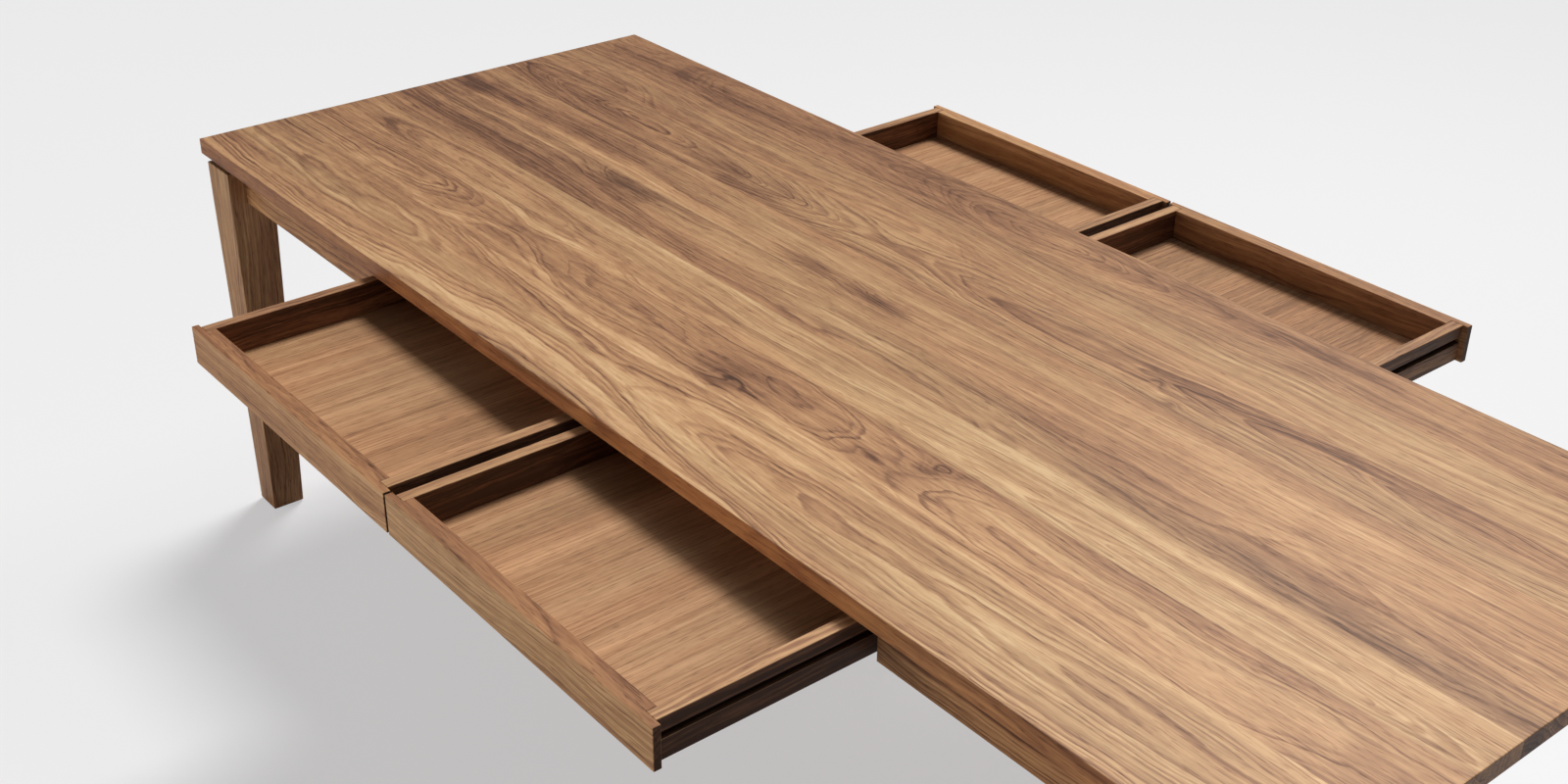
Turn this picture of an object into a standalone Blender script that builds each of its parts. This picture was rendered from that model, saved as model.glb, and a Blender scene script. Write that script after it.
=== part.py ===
"""Walnut dining table with two drawers in each long side, shown with all four drawers pulled out.

Metres, +Z up. The origin is on the floor under the middle of the top. +X runs along the length,
and the table is the same from both long sides, -Y and +Y.
"""
import math

import bmesh
import bpy
from mathutils import Vector

# Top
TOP_LENGTH = 2.400
TOP_WIDTH = 0.945
TOP_THICKNESS = 0.028
TABLE_HEIGHT = 0.750
TOP_ARRIS = 0.0012
# Height of the shadow line between the top and the frame
SHADOW_GAP = 0.010

# Legs: a square head, then a taper that is mostly on the two inner faces
LEG_HEAD_SIZE = 0.082
LEG_FOOT_SIZE = 0.060
LEG_OUTER_LEAN = 0.0045
LEG_END_INSET = 0.018
LEG_SIDE_INSET = 0.002
LEG_HEAD_DROP = 0.006
LEG_ARRIS = 0.0015

# Foot glides
GLIDE_RADIUS = 0.014
GLIDE_THICKNESS = 0.003
GLIDE_CHAMFER = 0.001
GLIDE_PIN_RADIUS = 0.002
GLIDE_PIN_LENGTH = 0.012
PIN_HOLE_SPARE = 0.002

# Aprons and end rails
APRON_HEIGHT = 0.061
RAIL_THICKNESS = 0.022
RAIL_BEHIND_LEG_FACE = 0.030
TENON_THICKNESS = 0.010
TENON_HEIGHT = 0.040
TENON_LENGTH = 0.020

# Inner frame under the top
BEARER_TENON_LENGTH = 0.012
CENTRE_BEARER_THICKNESS = 0.018
CENTRE_BEARER_HEIGHT = 0.054
SPINE_THICKNESS = 0.020
BATTEN_HEIGHT = 0.045

# Drawers
DRAWER_BAY_HALF_LENGTH = 0.592
DRAWER_END_CLEARANCE = 0.002
GAP_BETWEEN_FRONTS = 0.005
DRAWER_DEPTH = 0.420
DRAWER_TRAVEL = 0.318
FRONT_THICKNESS = 0.026
LIP_THICKNESS = 0.011
LIP_OVERHANG = 0.009
SIDE_THICKNESS = 0.019
SIDE_BOTTOM_RAISE = 0.002
BACK_THICKNESS = 0.015
FLOOR_THICKNESS = 0.005
FLOOR_TOP_HEIGHT = 0.010
FLOOR_GROOVE_DEPTH = 0.006

# Wooden runners and the grooves that slide on them
RUNNER_GROOVE_BELOW_TOP = 0.020
RUNNER_GROOVE_HEIGHT = 0.010
RUNNER_GROOVE_DEPTH = 0.008
RUNNER_HEIGHT = 0.0085
RUNNER_TIP_CLEARANCE = 0.001
RUNNER_END_CLEARANCE = 0.003

# Screws that hold the top
SCREW_SHANK_RADIUS = 0.0025
SCREW_HEAD_RADIUS = 0.005
SCREW_HEAD_THICKNESS = 0.003
SCREW_BITE = 0.015
SCREW_TIP_LENGTH = 0.004
SCREW_HOLE_SPARE = 0.001
SCREW_Y = 0.250

# Clearances and small values that many pieces share
JOINT_GAP = 0.0003
ARRIS = 0.0006
CUT_OVERRUN = 0.002
ROUND_SIDES = 24
SHARP_ANGLE = math.radians(30)
MERGE_DISTANCE = 0.00001

# Levels and places that follow from the sizes above
TOP_UNDERSIDE_Z = TABLE_HEIGHT - TOP_THICKNESS
FRAME_TOP_Z = TOP_UNDERSIDE_Z - SHADOW_GAP
APRON_BOTTOM_Z = FRAME_TOP_Z - APRON_HEIGHT
APRON_MIDDLE_Z = (APRON_BOTTOM_Z + FRAME_TOP_Z) / 2
BEARER_TOP_Z = TOP_UNDERSIDE_Z - JOINT_GAP
LEG_OUTER_X = TOP_LENGTH / 2 - LEG_END_INSET
LEG_OUTER_Y = TOP_WIDTH / 2 - LEG_SIDE_INSET
LEG_INNER_X = LEG_OUTER_X - LEG_HEAD_SIZE
LEG_INNER_Y = LEG_OUTER_Y - LEG_HEAD_SIZE
APRON_FACE_Y = LEG_OUTER_Y - RAIL_BEHIND_LEG_FACE
APRON_INNER_Y = APRON_FACE_Y - RAIL_THICKNESS
END_RAIL_FACE_X = LEG_OUTER_X - RAIL_BEHIND_LEG_FACE
END_RAIL_INNER_X = END_RAIL_FACE_X - RAIL_THICKNESS
CENTRE_BEARER_HALF = CENTRE_BEARER_THICKNESS / 2
CENTRE_BEARER_BOTTOM_Z = BEARER_TOP_Z - CENTRE_BEARER_HEIGHT
BATTEN_BOTTOM_Z = BEARER_TOP_Z - BATTEN_HEIGHT
BATTEN_X = (LEG_INNER_X + END_RAIL_INNER_X) / 2
CLOSED_FRONT_BACK_Y = APRON_FACE_Y - FRONT_THICKNESS
BEARER_END_Y = CLOSED_FRONT_BACK_Y - DRAWER_END_CLEARANCE
DRAWER_OUTER_X = DRAWER_BAY_HALF_LENGTH - DRAWER_END_CLEARANCE
DRAWER_INNER_X = GAP_BETWEEN_FRONTS / 2
DRAWER_HALF = (DRAWER_OUTER_X - DRAWER_INNER_X) / 2
DRAWER_MID_X = (DRAWER_OUTER_X + DRAWER_INNER_X) / 2
SIDE_OUTER_HALF = DRAWER_HALF - LIP_OVERHANG
SIDE_INNER_HALF = SIDE_OUTER_HALF - SIDE_THICKNESS
FLOOR_BOTTOM_HEIGHT = FLOOR_TOP_HEIGHT - FLOOR_THICKNESS
GROOVE_TOP = APRON_HEIGHT - RUNNER_GROOVE_BELOW_TOP
GROOVE_BOTTOM = GROOVE_TOP - RUNNER_GROOVE_HEIGHT

LONG_SIDES = (("front", -1), ("back", 1))
ENDS = (("left", -1), ("right", 1))


def clear_scene():
    for item in list(bpy.data.objects):
        bpy.data.objects.remove(item, do_unlink=True)


def make_material(name, colour, roughness, metallic=0.0):
    material = bpy.data.materials.new(name)
    material.use_nodes = True
    shader = material.node_tree.nodes["Principled BSDF"]
    shader.inputs["Base Color"].default_value = (*colour, 1.0)
    shader.inputs["Roughness"].default_value = roughness
    shader.inputs["Metallic"].default_value = metallic
    material.diffuse_color = (*colour, 1.0)
    return material


def make_materials():
    return {
        "top": make_material("walnut_top", (0.29, 0.16, 0.085), 0.42),
        "frame": make_material("walnut_frame", (0.24, 0.125, 0.065), 0.45),
        "drawer": make_material("walnut_drawer", (0.30, 0.155, 0.08), 0.45),
        "floor": make_material("walnut_veneer", (0.36, 0.17, 0.085), 0.5),
        "runner": make_material("runner_wood", (0.12, 0.07, 0.04), 0.5),
        "glide": make_material("glide_plastic", (0.05, 0.05, 0.05), 0.5),
        "screw": make_material("screw_steel", (0.5, 0.5, 0.52), 0.35, 1.0),
    }


def add_object(name, shape, place, material, parent=None):
    """Make an object of a bmesh whose points are relative to place."""
    mesh = bpy.data.meshes.new(name)
    bmesh.ops.recalc_face_normals(shape, faces=shape.faces)
    shape.to_mesh(mesh)
    shape.free()
    item = bpy.data.objects.new(name, mesh)
    item.location = place
    item.data.materials.append(material)
    item.parent = parent
    bpy.context.scene.collection.objects.link(item)
    return item


def break_edges(shape, width, segments=1):
    """Ease every sharp outward edge."""
    edges = [edge for edge in shape.edges if edge.is_convex and edge.calc_face_angle() > SHARP_ANGLE]
    bmesh.ops.bevel(shape, geom=edges, offset=width, segments=segments, profile=0.5, affect="EDGES")


def box_shape(size, arris=0.0, segments=1):
    shape = bmesh.new()
    bmesh.ops.create_cube(shape, size=1.0)
    bmesh.ops.scale(shape, vec=size, verts=shape.verts)
    if arris:
        break_edges(shape, arris, segments)
    return shape


def box_between(low, high, arris=0.0, segments=1):
    """A box and the middle that it is drawn about."""
    low, high = Vector(low), Vector(high)
    return box_shape(high - low, arris, segments), (low + high) / 2


def prism_shape(outline, axis, length):
    """Push an outline of two coordinates along the axis, centred on it."""
    shape = bmesh.new()
    points = []
    for first, second in outline:
        point = [first, second]
        point.insert(axis, -length / 2)
        points.append(shape.verts.new(point))
    face = shape.faces.new(points)
    grown = bmesh.ops.extrude_face_region(shape, geom=[face])
    moved = [item for item in grown["geom"] if isinstance(item, bmesh.types.BMVert)]
    step = Vector()
    step[axis] = length
    bmesh.ops.translate(shape, vec=step, verts=moved)
    bmesh.ops.recalc_face_normals(shape, faces=shape.faces)
    return shape


def add_tenon(shape, direction, thickness_axis, length, rise=0.0):
    """Draw a tenon out of the end face that looks along direction, above the face's middle by rise."""
    direction = Vector(direction)
    end = max(shape.faces, key=lambda face: face.normal.dot(direction) * face.calc_area()
              if face.normal.dot(direction) > 0.999 else 0.0)
    root = bmesh.ops.extrude_discrete_faces(shape, faces=[end])["faces"][0]
    middle = root.calc_center_median()
    for corner in root.verts:
        for axis, wide in ((thickness_axis, TENON_THICKNESS), (2, TENON_HEIGHT)):
            side = 1 if corner.co[axis] > middle[axis] else -1
            corner.co[axis] = middle[axis] + side * wide / 2
        corner.co.z += rise
    tip = bmesh.ops.extrude_discrete_faces(shape, faces=[root])["faces"][0]
    bmesh.ops.translate(shape, vec=direction * length, verts=tip.verts)


def turned_shape(profile, sides=ROUND_SIDES):
    """Turn a profile of (radius, height) points about the Z axis; both ends lie on the axis."""
    shape = bmesh.new()
    points = [shape.verts.new((radius, 0, height)) for radius, height in profile]
    edges = [shape.edges.new(pair) for pair in zip(points, points[1:])]
    bmesh.ops.spin(shape, geom=points + edges, axis=(0, 0, 1), cent=(0, 0, 0),
                   steps=sides, angle=math.tau, use_merge=True)
    bmesh.ops.remove_doubles(shape, verts=shape.verts, dist=MERGE_DISTANCE)
    bmesh.ops.recalc_face_normals(shape, faces=shape.faces)
    return shape


def shade_round(item):
    item.data.shade_smooth()
    item.data.set_sharp_from_angle(angle=SHARP_ANGLE)


def add_cutter(name, shape, place):
    cutter = add_object(name, shape, place, None)
    cutter.hide_render = True
    cutter.display_type = "WIRE"
    return cutter


def cut(item, cutter):
    modifier = item.modifiers.new(cutter.name, "BOOLEAN")
    modifier.operation = "DIFFERENCE"
    modifier.solver = "EXACT"
    modifier.object = cutter


def box_cutter(name, low, high):
    return add_cutter(name, *box_between(low, high))


def round_cutter(name, radius, bottom, top, x, y):
    height = top - bottom
    shape = turned_shape([(0, -height / 2), (radius, -height / 2), (radius, height / 2), (0, height / 2)])
    return add_cutter(name, shape, (x, y, (top + bottom) / 2))


def signed_box(first, second):
    """Sort two opposite corners into the lowest and the highest."""
    pairs = list(zip(first, second))
    return [min(pair) for pair in pairs], [max(pair) for pair in pairs]


def screw_places():
    """Name, place and seat height of each screw that goes up into the top."""
    places = []
    for end, end_sign in ENDS:
        for side, side_sign in LONG_SIDES:
            place = (end_sign * BATTEN_X, side_sign * SCREW_Y)
            places.append((f"{end}_{side}", place, BATTEN_BOTTOM_Z))
    for side, side_sign in LONG_SIDES:
        places.append((f"middle_{side}", (0, side_sign * SCREW_Y), CENTRE_BEARER_BOTTOM_Z))
    return places


def make_top(materials):
    low = (-TOP_LENGTH / 2, -TOP_WIDTH / 2, TOP_UNDERSIDE_Z)
    high = (TOP_LENGTH / 2, TOP_WIDTH / 2, TABLE_HEIGHT)
    top = add_object("tabletop", *box_between(low, high, TOP_ARRIS, 2), materials["top"])
    hole_top = TOP_UNDERSIDE_Z + SCREW_BITE + SCREW_HOLE_SPARE
    for name, (x, y), _ in screw_places():
        radius = SCREW_SHANK_RADIUS + JOINT_GAP
        cut(top, round_cutter(f"cut_top_{name}", radius, TOP_UNDERSIDE_Z - CUT_OVERRUN, hole_top, x, y))


def leg_ring(shape, end_sign, side_sign, height, lean, size):
    """Four corners of a leg's section, counted from its outer corner inward."""
    corners = ((lean, lean), (lean + size, lean), (lean + size, lean + size), (lean, lean + size))
    ring = []
    for along, across in corners:
        x = end_sign * (LEG_OUTER_X - along)
        y = side_sign * (LEG_OUTER_Y - across)
        ring.append(shape.verts.new((x, y, height)))
    return ring


def foot_middle(end_sign, side_sign):
    inset = LEG_OUTER_LEAN + LEG_FOOT_SIZE / 2
    return end_sign * (LEG_OUTER_X - inset), side_sign * (LEG_OUTER_Y - inset)


def make_leg(end, end_sign, side, side_sign, materials):
    shape = bmesh.new()
    levels = (
        (GLIDE_THICKNESS + JOINT_GAP, LEG_OUTER_LEAN, LEG_FOOT_SIZE),
        (APRON_BOTTOM_Z - LEG_HEAD_DROP, 0, LEG_HEAD_SIZE),
        (FRAME_TOP_Z, 0, LEG_HEAD_SIZE),
    )
    rings = [leg_ring(shape, end_sign, side_sign, *level) for level in levels]
    for lower, upper in zip(rings, rings[1:]):
        for here, there in ((0, 1), (1, 2), (2, 3), (3, 0)):
            shape.faces.new((lower[here], lower[there], upper[there], upper[here]))
    shape.faces.new(rings[0])
    shape.faces.new(rings[-1])
    bmesh.ops.recalc_face_normals(shape, faces=shape.faces)
    break_edges(shape, LEG_ARRIS, 2)
    foot_x, foot_y = foot_middle(end_sign, side_sign)
    bmesh.ops.translate(shape, vec=(-foot_x, -foot_y, 0), verts=shape.verts)
    leg = add_object(f"leg_{side}_{end}", shape, (foot_x, foot_y, 0), materials["frame"])
    cut_mortises(leg, end_sign, side_sign)
    pin_top = GLIDE_THICKNESS + GLIDE_PIN_LENGTH + PIN_HOLE_SPARE
    cut(leg, round_cutter(f"cut_pin_{side}_{end}", GLIDE_PIN_RADIUS + JOINT_GAP,
                          GLIDE_THICKNESS - CUT_OVERRUN, pin_top, foot_x, foot_y))
    make_glide(f"glide_{side}_{end}", foot_x, foot_y, materials["glide"])


def cut_mortises(leg, end_sign, side_sign):
    """Two slots for the tenons of the apron and of the end rail."""
    low_z = APRON_MIDDLE_Z - TENON_HEIGHT / 2 - JOINT_GAP
    high_z = APRON_MIDDLE_Z + TENON_HEIGHT / 2 + JOINT_GAP
    half_width = TENON_THICKNESS / 2 + JOINT_GAP
    depth = TENON_LENGTH + JOINT_GAP
    apron_mid = side_sign * (APRON_FACE_Y - RAIL_THICKNESS / 2)
    rail_mid = end_sign * (END_RAIL_FACE_X - RAIL_THICKNESS / 2)
    for kind, first, second in (
        ("apron",
         (end_sign * (LEG_INNER_X - CUT_OVERRUN), apron_mid - half_width, low_z),
         (end_sign * (LEG_INNER_X + depth), apron_mid + half_width, high_z)),
        ("rail",
         (rail_mid - half_width, side_sign * (LEG_INNER_Y - CUT_OVERRUN), low_z),
         (rail_mid + half_width, side_sign * (LEG_INNER_Y + depth), high_z)),
    ):
        cut(leg, box_cutter(f"cut_{kind}_{leg.name}", *signed_box(first, second)))


def make_glide(name, x, y, material):
    profile = [
        (0, 0),
        (GLIDE_RADIUS - GLIDE_CHAMFER, 0),
        (GLIDE_RADIUS, GLIDE_CHAMFER),
        (GLIDE_RADIUS, GLIDE_THICKNESS),
        (GLIDE_PIN_RADIUS, GLIDE_THICKNESS),
        (GLIDE_PIN_RADIUS, GLIDE_THICKNESS + GLIDE_PIN_LENGTH),
        (0, GLIDE_THICKNESS + GLIDE_PIN_LENGTH),
    ]
    shade_round(add_object(name, turned_shape(profile), (x, y, 0), material))


def make_apron(end, end_sign, side, side_sign, materials):
    """A fixed length of the long side, from a leg to the drawer bay."""
    first = (end_sign * (LEG_INNER_X - JOINT_GAP), side_sign * APRON_FACE_Y, APRON_BOTTOM_Z)
    second = (end_sign * DRAWER_BAY_HALF_LENGTH, side_sign * APRON_INNER_Y, FRAME_TOP_Z)
    shape, place = box_between(*signed_box(first, second), ARRIS)
    add_tenon(shape, (end_sign, 0, 0), 1, TENON_LENGTH)
    apron = add_object(f"apron_{side}_{end}", shape, place, materials["frame"])
    bearer_mid = end_sign * (DRAWER_BAY_HALF_LENGTH + RAIL_THICKNESS / 2)
    half_width = TENON_THICKNESS / 2 + JOINT_GAP
    half_height = TENON_HEIGHT / 2 + JOINT_GAP
    slot = signed_box(
        (bearer_mid - half_width, side_sign * (APRON_INNER_Y - CUT_OVERRUN), APRON_MIDDLE_Z - half_height),
        (bearer_mid + half_width, side_sign * (APRON_INNER_Y + BEARER_TENON_LENGTH + JOINT_GAP),
         APRON_MIDDLE_Z + half_height))
    cut(apron, box_cutter(f"cut_{apron.name}", *slot))


def make_end_rail(end, end_sign, materials):
    first = (end_sign * END_RAIL_FACE_X, -(LEG_INNER_Y - JOINT_GAP), APRON_BOTTOM_Z)
    second = (end_sign * END_RAIL_INNER_X, LEG_INNER_Y - JOINT_GAP, FRAME_TOP_Z)
    shape, place = box_between(*signed_box(first, second), ARRIS)
    for _, side_sign in LONG_SIDES:
        add_tenon(shape, (0, side_sign, 0), 0, TENON_LENGTH)
    add_object(f"end_rail_{end}", shape, place, materials["frame"])


def make_end_batten(end, end_sign, materials):
    """A strip on the inner face of an end rail that carries the top."""
    half_length = LEG_INNER_Y - JOINT_GAP
    first = (end_sign * (END_RAIL_INNER_X - JOINT_GAP), -half_length, BATTEN_BOTTOM_Z)
    second = (end_sign * LEG_INNER_X, half_length, BEARER_TOP_Z)
    shape, place = box_between(*signed_box(first, second), ARRIS)
    return add_object(f"end_batten_{end}", shape, place, materials["frame"])


def make_bay_bearer(end, end_sign, materials):
    """A bearer across the table at an end of the drawer bay, tenoned into both aprons."""
    half_length = APRON_INNER_Y - JOINT_GAP
    first = (end_sign * DRAWER_BAY_HALF_LENGTH, -half_length, APRON_BOTTOM_Z)
    second = (end_sign * (DRAWER_BAY_HALF_LENGTH + RAIL_THICKNESS), half_length, BEARER_TOP_Z)
    shape, place = box_between(*signed_box(first, second), ARRIS)
    for _, side_sign in LONG_SIDES:
        add_tenon(shape, (0, side_sign, 0), 0, BEARER_TENON_LENGTH, APRON_MIDDLE_Z - place.z)
    add_object(f"bay_bearer_{end}", shape, place, materials["frame"])


def make_centre_bearer(materials):
    low = (-CENTRE_BEARER_HALF, -BEARER_END_Y, CENTRE_BEARER_BOTTOM_Z)
    high = (CENTRE_BEARER_HALF, BEARER_END_Y, BEARER_TOP_Z)
    return add_object("centre_bearer", *box_between(low, high, ARRIS), materials["frame"])


def make_spine(end, end_sign, materials):
    first = (end_sign * (CENTRE_BEARER_HALF + JOINT_GAP), -SPINE_THICKNESS / 2, CENTRE_BEARER_BOTTOM_Z)
    second = (end_sign * (DRAWER_BAY_HALF_LENGTH - JOINT_GAP), SPINE_THICKNESS / 2, BEARER_TOP_Z)
    add_object(f"spine_rail_{end}", *box_between(*signed_box(first, second), ARRIS), materials["frame"])


def make_screws(carriers, materials):
    """Round-headed screws that go up through the battens and the centre bearer into the top."""
    for name, (x, y), seat_z in screw_places():
        radius = SCREW_SHANK_RADIUS + JOINT_GAP
        carrier = carriers[name.split("_")[0]]
        cut(carrier, round_cutter(f"cut_screw_{name}", radius, seat_z - CUT_OVERRUN,
                                  BEARER_TOP_Z + CUT_OVERRUN, x, y))
        head_top = seat_z - JOINT_GAP
        tip = TOP_UNDERSIDE_Z + SCREW_BITE
        profile = [
            (0, -SCREW_HEAD_THICKNESS),
            (SCREW_HEAD_RADIUS - SCREW_HEAD_THICKNESS / 2, -SCREW_HEAD_THICKNESS),
            (SCREW_HEAD_RADIUS, -SCREW_HEAD_THICKNESS / 2),
            (SCREW_HEAD_RADIUS, 0),
            (SCREW_SHANK_RADIUS, 0),
            (SCREW_SHANK_RADIUS, tip - SCREW_TIP_LENGTH - head_top),
            (0, tip - head_top),
        ]
        screw = add_object(f"top_screw_{name}", turned_shape(profile), (x, y, head_top), materials["screw"])
        shade_round(screw)


def make_runner(end, end_sign, side, side_sign, materials):
    """Two strips that a drawer hangs on: one on the bay bearer and one on the centre bearer."""
    top_z = APRON_BOTTOM_Z + GROOVE_TOP - JOINT_GAP
    near_y = SPINE_THICKNESS / 2 + RUNNER_END_CLEARANCE
    reach = RUNNER_GROOVE_DEPTH - RUNNER_TIP_CLEARANCE
    for kind, seat_x, tip_x in (
        ("outer", DRAWER_BAY_HALF_LENGTH - JOINT_GAP, DRAWER_OUTER_X - LIP_OVERHANG - reach),
        ("inner", CENTRE_BEARER_HALF + JOINT_GAP, DRAWER_INNER_X + LIP_OVERHANG + reach),
    ):
        first = (end_sign * seat_x, side_sign * near_y, top_z - RUNNER_HEIGHT)
        second = (end_sign * tip_x, side_sign * BEARER_END_Y, top_z)
        shape, place = box_between(*signed_box(first, second), ARRIS)
        add_object(f"runner_{side}_{end}_{kind}", shape, place, materials["runner"])


def drawer_front_shape():
    """The front is thick between the sides and thin where its lips reach past them."""
    body = SIDE_INNER_HALF - JOINT_GAP
    outline = [
        (-DRAWER_HALF, 0),
        (-DRAWER_HALF, -LIP_THICKNESS),
        (-body, -LIP_THICKNESS),
        (-body, -FRONT_THICKNESS),
        (body, -FRONT_THICKNESS),
        (body, -LIP_THICKNESS),
        (DRAWER_HALF, -LIP_THICKNESS),
        (DRAWER_HALF, 0),
    ]
    shape = prism_shape(outline, 2, APRON_HEIGHT)
    break_edges(shape, ARRIS)
    return shape


def drawer_side_shape(length):
    """Section of a side, outer face at +X, with the runner's groove and the floor's groove."""
    half = SIDE_THICKNESS / 2
    floor_low = FLOOR_BOTTOM_HEIGHT - JOINT_GAP
    floor_high = FLOOR_TOP_HEIGHT + JOINT_GAP
    outline = [
        (-half, SIDE_BOTTOM_RAISE),
        (half, SIDE_BOTTOM_RAISE),
        (half, GROOVE_BOTTOM),
        (half - RUNNER_GROOVE_DEPTH, GROOVE_BOTTOM),
        (half - RUNNER_GROOVE_DEPTH, GROOVE_TOP),
        (half, GROOVE_TOP),
        (half, APRON_HEIGHT),
        (-half, APRON_HEIGHT),
        (-half, floor_high),
        (-half + FLOOR_GROOVE_DEPTH, floor_high),
        (-half + FLOOR_GROOVE_DEPTH, floor_low),
        (-half, floor_low),
    ]
    shape = prism_shape(outline, 1, length)
    break_edges(shape, ARRIS)
    return shape


def make_drawer(end, end_sign, side, side_sign, materials):
    """A drawer in its own frame: +Y points out of the table, and the front's face is at zero."""
    name = f"drawer_{side}_{end}"
    holder = bpy.data.objects.new(f"{name}_slide", None)
    holder.location = (end_sign * DRAWER_MID_X, side_sign * (APRON_FACE_Y + DRAWER_TRAVEL), APRON_BOTTOM_Z)
    holder.rotation_euler = (0, 0, 0 if side_sign > 0 else math.pi)
    bpy.context.scene.collection.objects.link(holder)

    front = add_object(f"{name}_front", drawer_front_shape(), (0, 0, APRON_HEIGHT / 2),
                       materials["drawer"], holder)
    groove = box_cutter(f"cut_{name}_front",
                        (-(SIDE_INNER_HALF - JOINT_GAP + CUT_OVERRUN), -(FRONT_THICKNESS + CUT_OVERRUN),
                         FLOOR_BOTTOM_HEIGHT - JOINT_GAP),
                        (SIDE_INNER_HALF - JOINT_GAP + CUT_OVERRUN, -(FRONT_THICKNESS - FLOOR_GROOVE_DEPTH),
                         FLOOR_TOP_HEIGHT + JOINT_GAP))
    groove.parent = holder
    cut(front, groove)

    side_front = LIP_THICKNESS + JOINT_GAP
    side_length = DRAWER_DEPTH - side_front
    side_middle = SIDE_OUTER_HALF - SIDE_THICKNESS / 2
    for local_sign in (-1, 1):
        kind = "outer" if local_sign * side_sign * end_sign > 0 else "inner"
        place = (local_sign * side_middle, -(side_front + side_length / 2), 0)
        board = add_object(f"{name}_side_{kind}", drawer_side_shape(side_length), place,
                           materials["drawer"], holder)
        if local_sign < 0:
            board.data.transform(((-1, 0, 0, 0), (0, 1, 0, 0), (0, 0, 1, 0), (0, 0, 0, 1)))
            board.data.flip_normals()

    inner_half = SIDE_INNER_HALF - JOINT_GAP
    back_low = (-inner_half, -DRAWER_DEPTH, FLOOR_TOP_HEIGHT + JOINT_GAP)
    back_high = (inner_half, -DRAWER_DEPTH + BACK_THICKNESS, APRON_HEIGHT)
    add_object(f"{name}_back", *box_between(back_low, back_high, ARRIS), materials["drawer"], holder)

    floor_half = SIDE_INNER_HALF + FLOOR_GROOVE_DEPTH - JOINT_GAP
    floor_front = FRONT_THICKNESS - FLOOR_GROOVE_DEPTH + JOINT_GAP
    floor_low = (-floor_half, -DRAWER_DEPTH, FLOOR_BOTTOM_HEIGHT)
    floor_high = (floor_half, -floor_front, FLOOR_TOP_HEIGHT)
    add_object(f"{name}_floor", *box_between(floor_low, floor_high, ARRIS), materials["floor"], holder)


def main():
    clear_scene()
    materials = make_materials()
    make_top(materials)
    carriers = {"middle": make_centre_bearer(materials)}
    for end, end_sign in ENDS:
        carriers[end] = make_end_batten(end, end_sign, materials)
        make_end_rail(end, end_sign, materials)
        make_bay_bearer(end, end_sign, materials)
        make_spine(end, end_sign, materials)
        for side, side_sign in LONG_SIDES:
            place = (end, end_sign, side, side_sign)
            make_leg(*place, materials)
            make_apron(*place, materials)
            make_runner(*place, materials)
            make_drawer(*place, materials)
    make_screws(carriers, materials)


main()
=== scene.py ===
"""Looks of the walnut dining table: oiled solid walnut, veneered drawer floors, soft studio light.

Everything is in metres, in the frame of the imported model: +X along the table, -Y towards the near
long side, +Z up, with the origin on the floor under the middle of the top.
"""

import math

import bpy
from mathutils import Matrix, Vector


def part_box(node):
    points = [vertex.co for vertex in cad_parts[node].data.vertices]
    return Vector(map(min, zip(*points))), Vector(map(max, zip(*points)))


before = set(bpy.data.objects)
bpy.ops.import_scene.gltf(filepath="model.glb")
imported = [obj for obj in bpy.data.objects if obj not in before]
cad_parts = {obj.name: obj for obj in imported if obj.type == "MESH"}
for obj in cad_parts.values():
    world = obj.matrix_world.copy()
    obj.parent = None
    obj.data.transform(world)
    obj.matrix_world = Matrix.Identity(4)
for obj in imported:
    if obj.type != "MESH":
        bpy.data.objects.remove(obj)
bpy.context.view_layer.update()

# Camera, as solved for a photograph of 1600 by 800 pixels
PHOTO_WIDTH_PX = 1600
FOCAL_PX = 1909.6
SENSOR_WIDTH_MM = 36
CAMERA_PLACE = (1.8829, -1.6385, 1.9987)
CAMERA_TURN_DEG = (60.677, -0.492, 51.036)
CAMERA_SEES_TO = 200

# Joints between the staves of the top, as shares of its width counted from the back edge
STAVE_JOINT_SHARES = (0.119, 0.236, 0.349, 0.468, 0.597, 0.692, 0.822)

# The staves of the top, back to front: pith beside the stave's middle, pith below the surface, rise of
# the pith per metre, metres per ring, tone, how strongly the rings are drawn, how far they wander
STAVE_COLUMNS = ("pith_beside", "pith_below", "rise", "spacing", "tone", "contrast", "wander")
STAVES = (
    (0.000, 0.045, 0.030, 0.0085, -0.07, 0.42, 0.90),
    (-0.070, 0.050, -0.020, 0.0080, -0.02, 0.42, 0.60),
    (0.012, 0.014, 0.015, 0.0090, -0.06, 0.78, 0.75),
    (0.090, 0.040, 0.010, 0.0080, 0.00, 0.42, 0.60),
    (-0.060, 0.045, -0.030, 0.0085, -0.07, 0.48, 0.70),
    (-0.035, 0.018, 0.020, 0.0090, 0.03, 0.60, 0.70),
    (-0.005, 0.030, -0.020, 0.0090, -0.01, 0.78, 0.90),
    (0.012, 0.032, 0.010, 0.0105, 0.06, 0.98, 0.70),
)

# Where the growth rings swell or sink along a stave, which makes its arches: x, y, half length,
# half width, swell of the ring radius
FLARES = (
    (0.00, 0.420, 0.280, 0.120, -0.100),
    (-0.75, 0.430, 0.200, 0.060, -0.040),
    (-0.20, 0.305, 0.200, 0.050, -0.045),
    (-1.00, 0.300, 0.180, 0.060, -0.040),
    (-0.80, 0.190, 0.380, 0.075, -0.100),
    (-0.12, 0.205, 0.220, 0.060, 0.040),
    (0.95, 0.190, 0.250, 0.070, -0.050),
    (-0.36, -0.030, 0.250, 0.050, 0.040),
    (0.88, 0.010, 0.120, 0.030, -0.030),
    (0.88, -0.155, 0.350, 0.032, -0.070),
    (-0.80, -0.150, 0.200, 0.030, -0.030),
    (-0.52, -0.250, 0.170, 0.060, 0.040),
    (0.40, -0.240, 0.140, 0.050, 0.035),
    (-0.15, -0.375, 0.400, 0.110, 0.058),
)

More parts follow.
